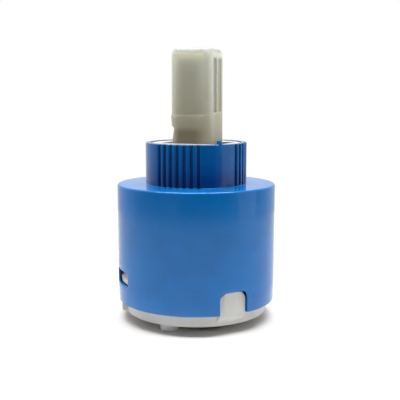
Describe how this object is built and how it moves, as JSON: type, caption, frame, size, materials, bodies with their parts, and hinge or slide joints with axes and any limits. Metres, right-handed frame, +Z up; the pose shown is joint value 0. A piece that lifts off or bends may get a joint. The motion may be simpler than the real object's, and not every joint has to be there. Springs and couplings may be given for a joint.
{
  "type": "ceramic disc tap cartridge",
  "caption": "Single-lever mixer tap cartridge: a blue barrel with a grooved collar, a tilting and turning square stem, ceramic discs inside and a pale snap-in base with ports and pegs.",
  "frame": {"origin": "centre of the base's seat face, on the barrel's axis", "axes": "+Z up the barrel and the lever stem, -Y to the front of the tap, +X to the cold side"},
  "size_m": [0.035, 0.035, 0.0593],
  "materials": {
    "blue_shell": "moulded, semi-gloss",
    "base_plastic": "moulded, satin",
    "rotor_plastic": "moulded, satin",
    "stem_plastic": "moulded, satin, slightly translucent",
    "plate_plastic": "moulded, satin",
    "screen_plastic": "moulded, satin",
    "glide_plastic": "smooth, low friction",
    "seal_rubber": "smooth, matt",
    "disc_ceramic": "lapped",
    "pin_steel": "ground"
  },
  "bodies": {
    "casing": {"housing": "blue_shell", "base": "base_plastic", "hot_seat_seal": "seal_rubber", "cold_seat_seal": "seal_rubber", "outlet_seat_seal": "seal_rubber", "hot_disc_gasket": "seal_rubber", "cold_disc_gasket": "seal_rubber", "outlet_disc_gasket": "seal_rubber", "fixed_disc": "disc_ceramic", "glide_ring": "glide_plastic"},
    "rotor": {"rotor": "rotor_plastic", "pivot_pin": "pin_steel"},
    "lever": {"stem": "stem_plastic"},
    "carriage": {"drive_plate": "plate_plastic", "chamber_ring": "seal_rubber", "noise_screen": "screen_plastic", "moving_disc": "disc_ceramic"}
  },
  "joints": [
    {"name": "lever_turn", "type": "hinge", "parent": "casing", "child": "rotor", "pos_m": [0, 0, 0.028], "axis": [0, 0, 1], "range_deg": [-50, 50]},
    {"name": "lever_tilt", "type": "hinge", "parent": "rotor", "child": "lever", "pos_m": [0, 0, 0.028], "axis": [1, 0, 0], "range_deg": [-13, 13]},
    {"name": "disc_slide", "type": "slide", "parent": "rotor", "child": "carriage", "axis": [0, 1, 0], "range_m": [-0.0023, 0.0023]}
  ],
  "couplings": [
    {"joint": "lever_tilt", "follows": "disc_slide", "rad_per_m": 98.328}
  ]
}
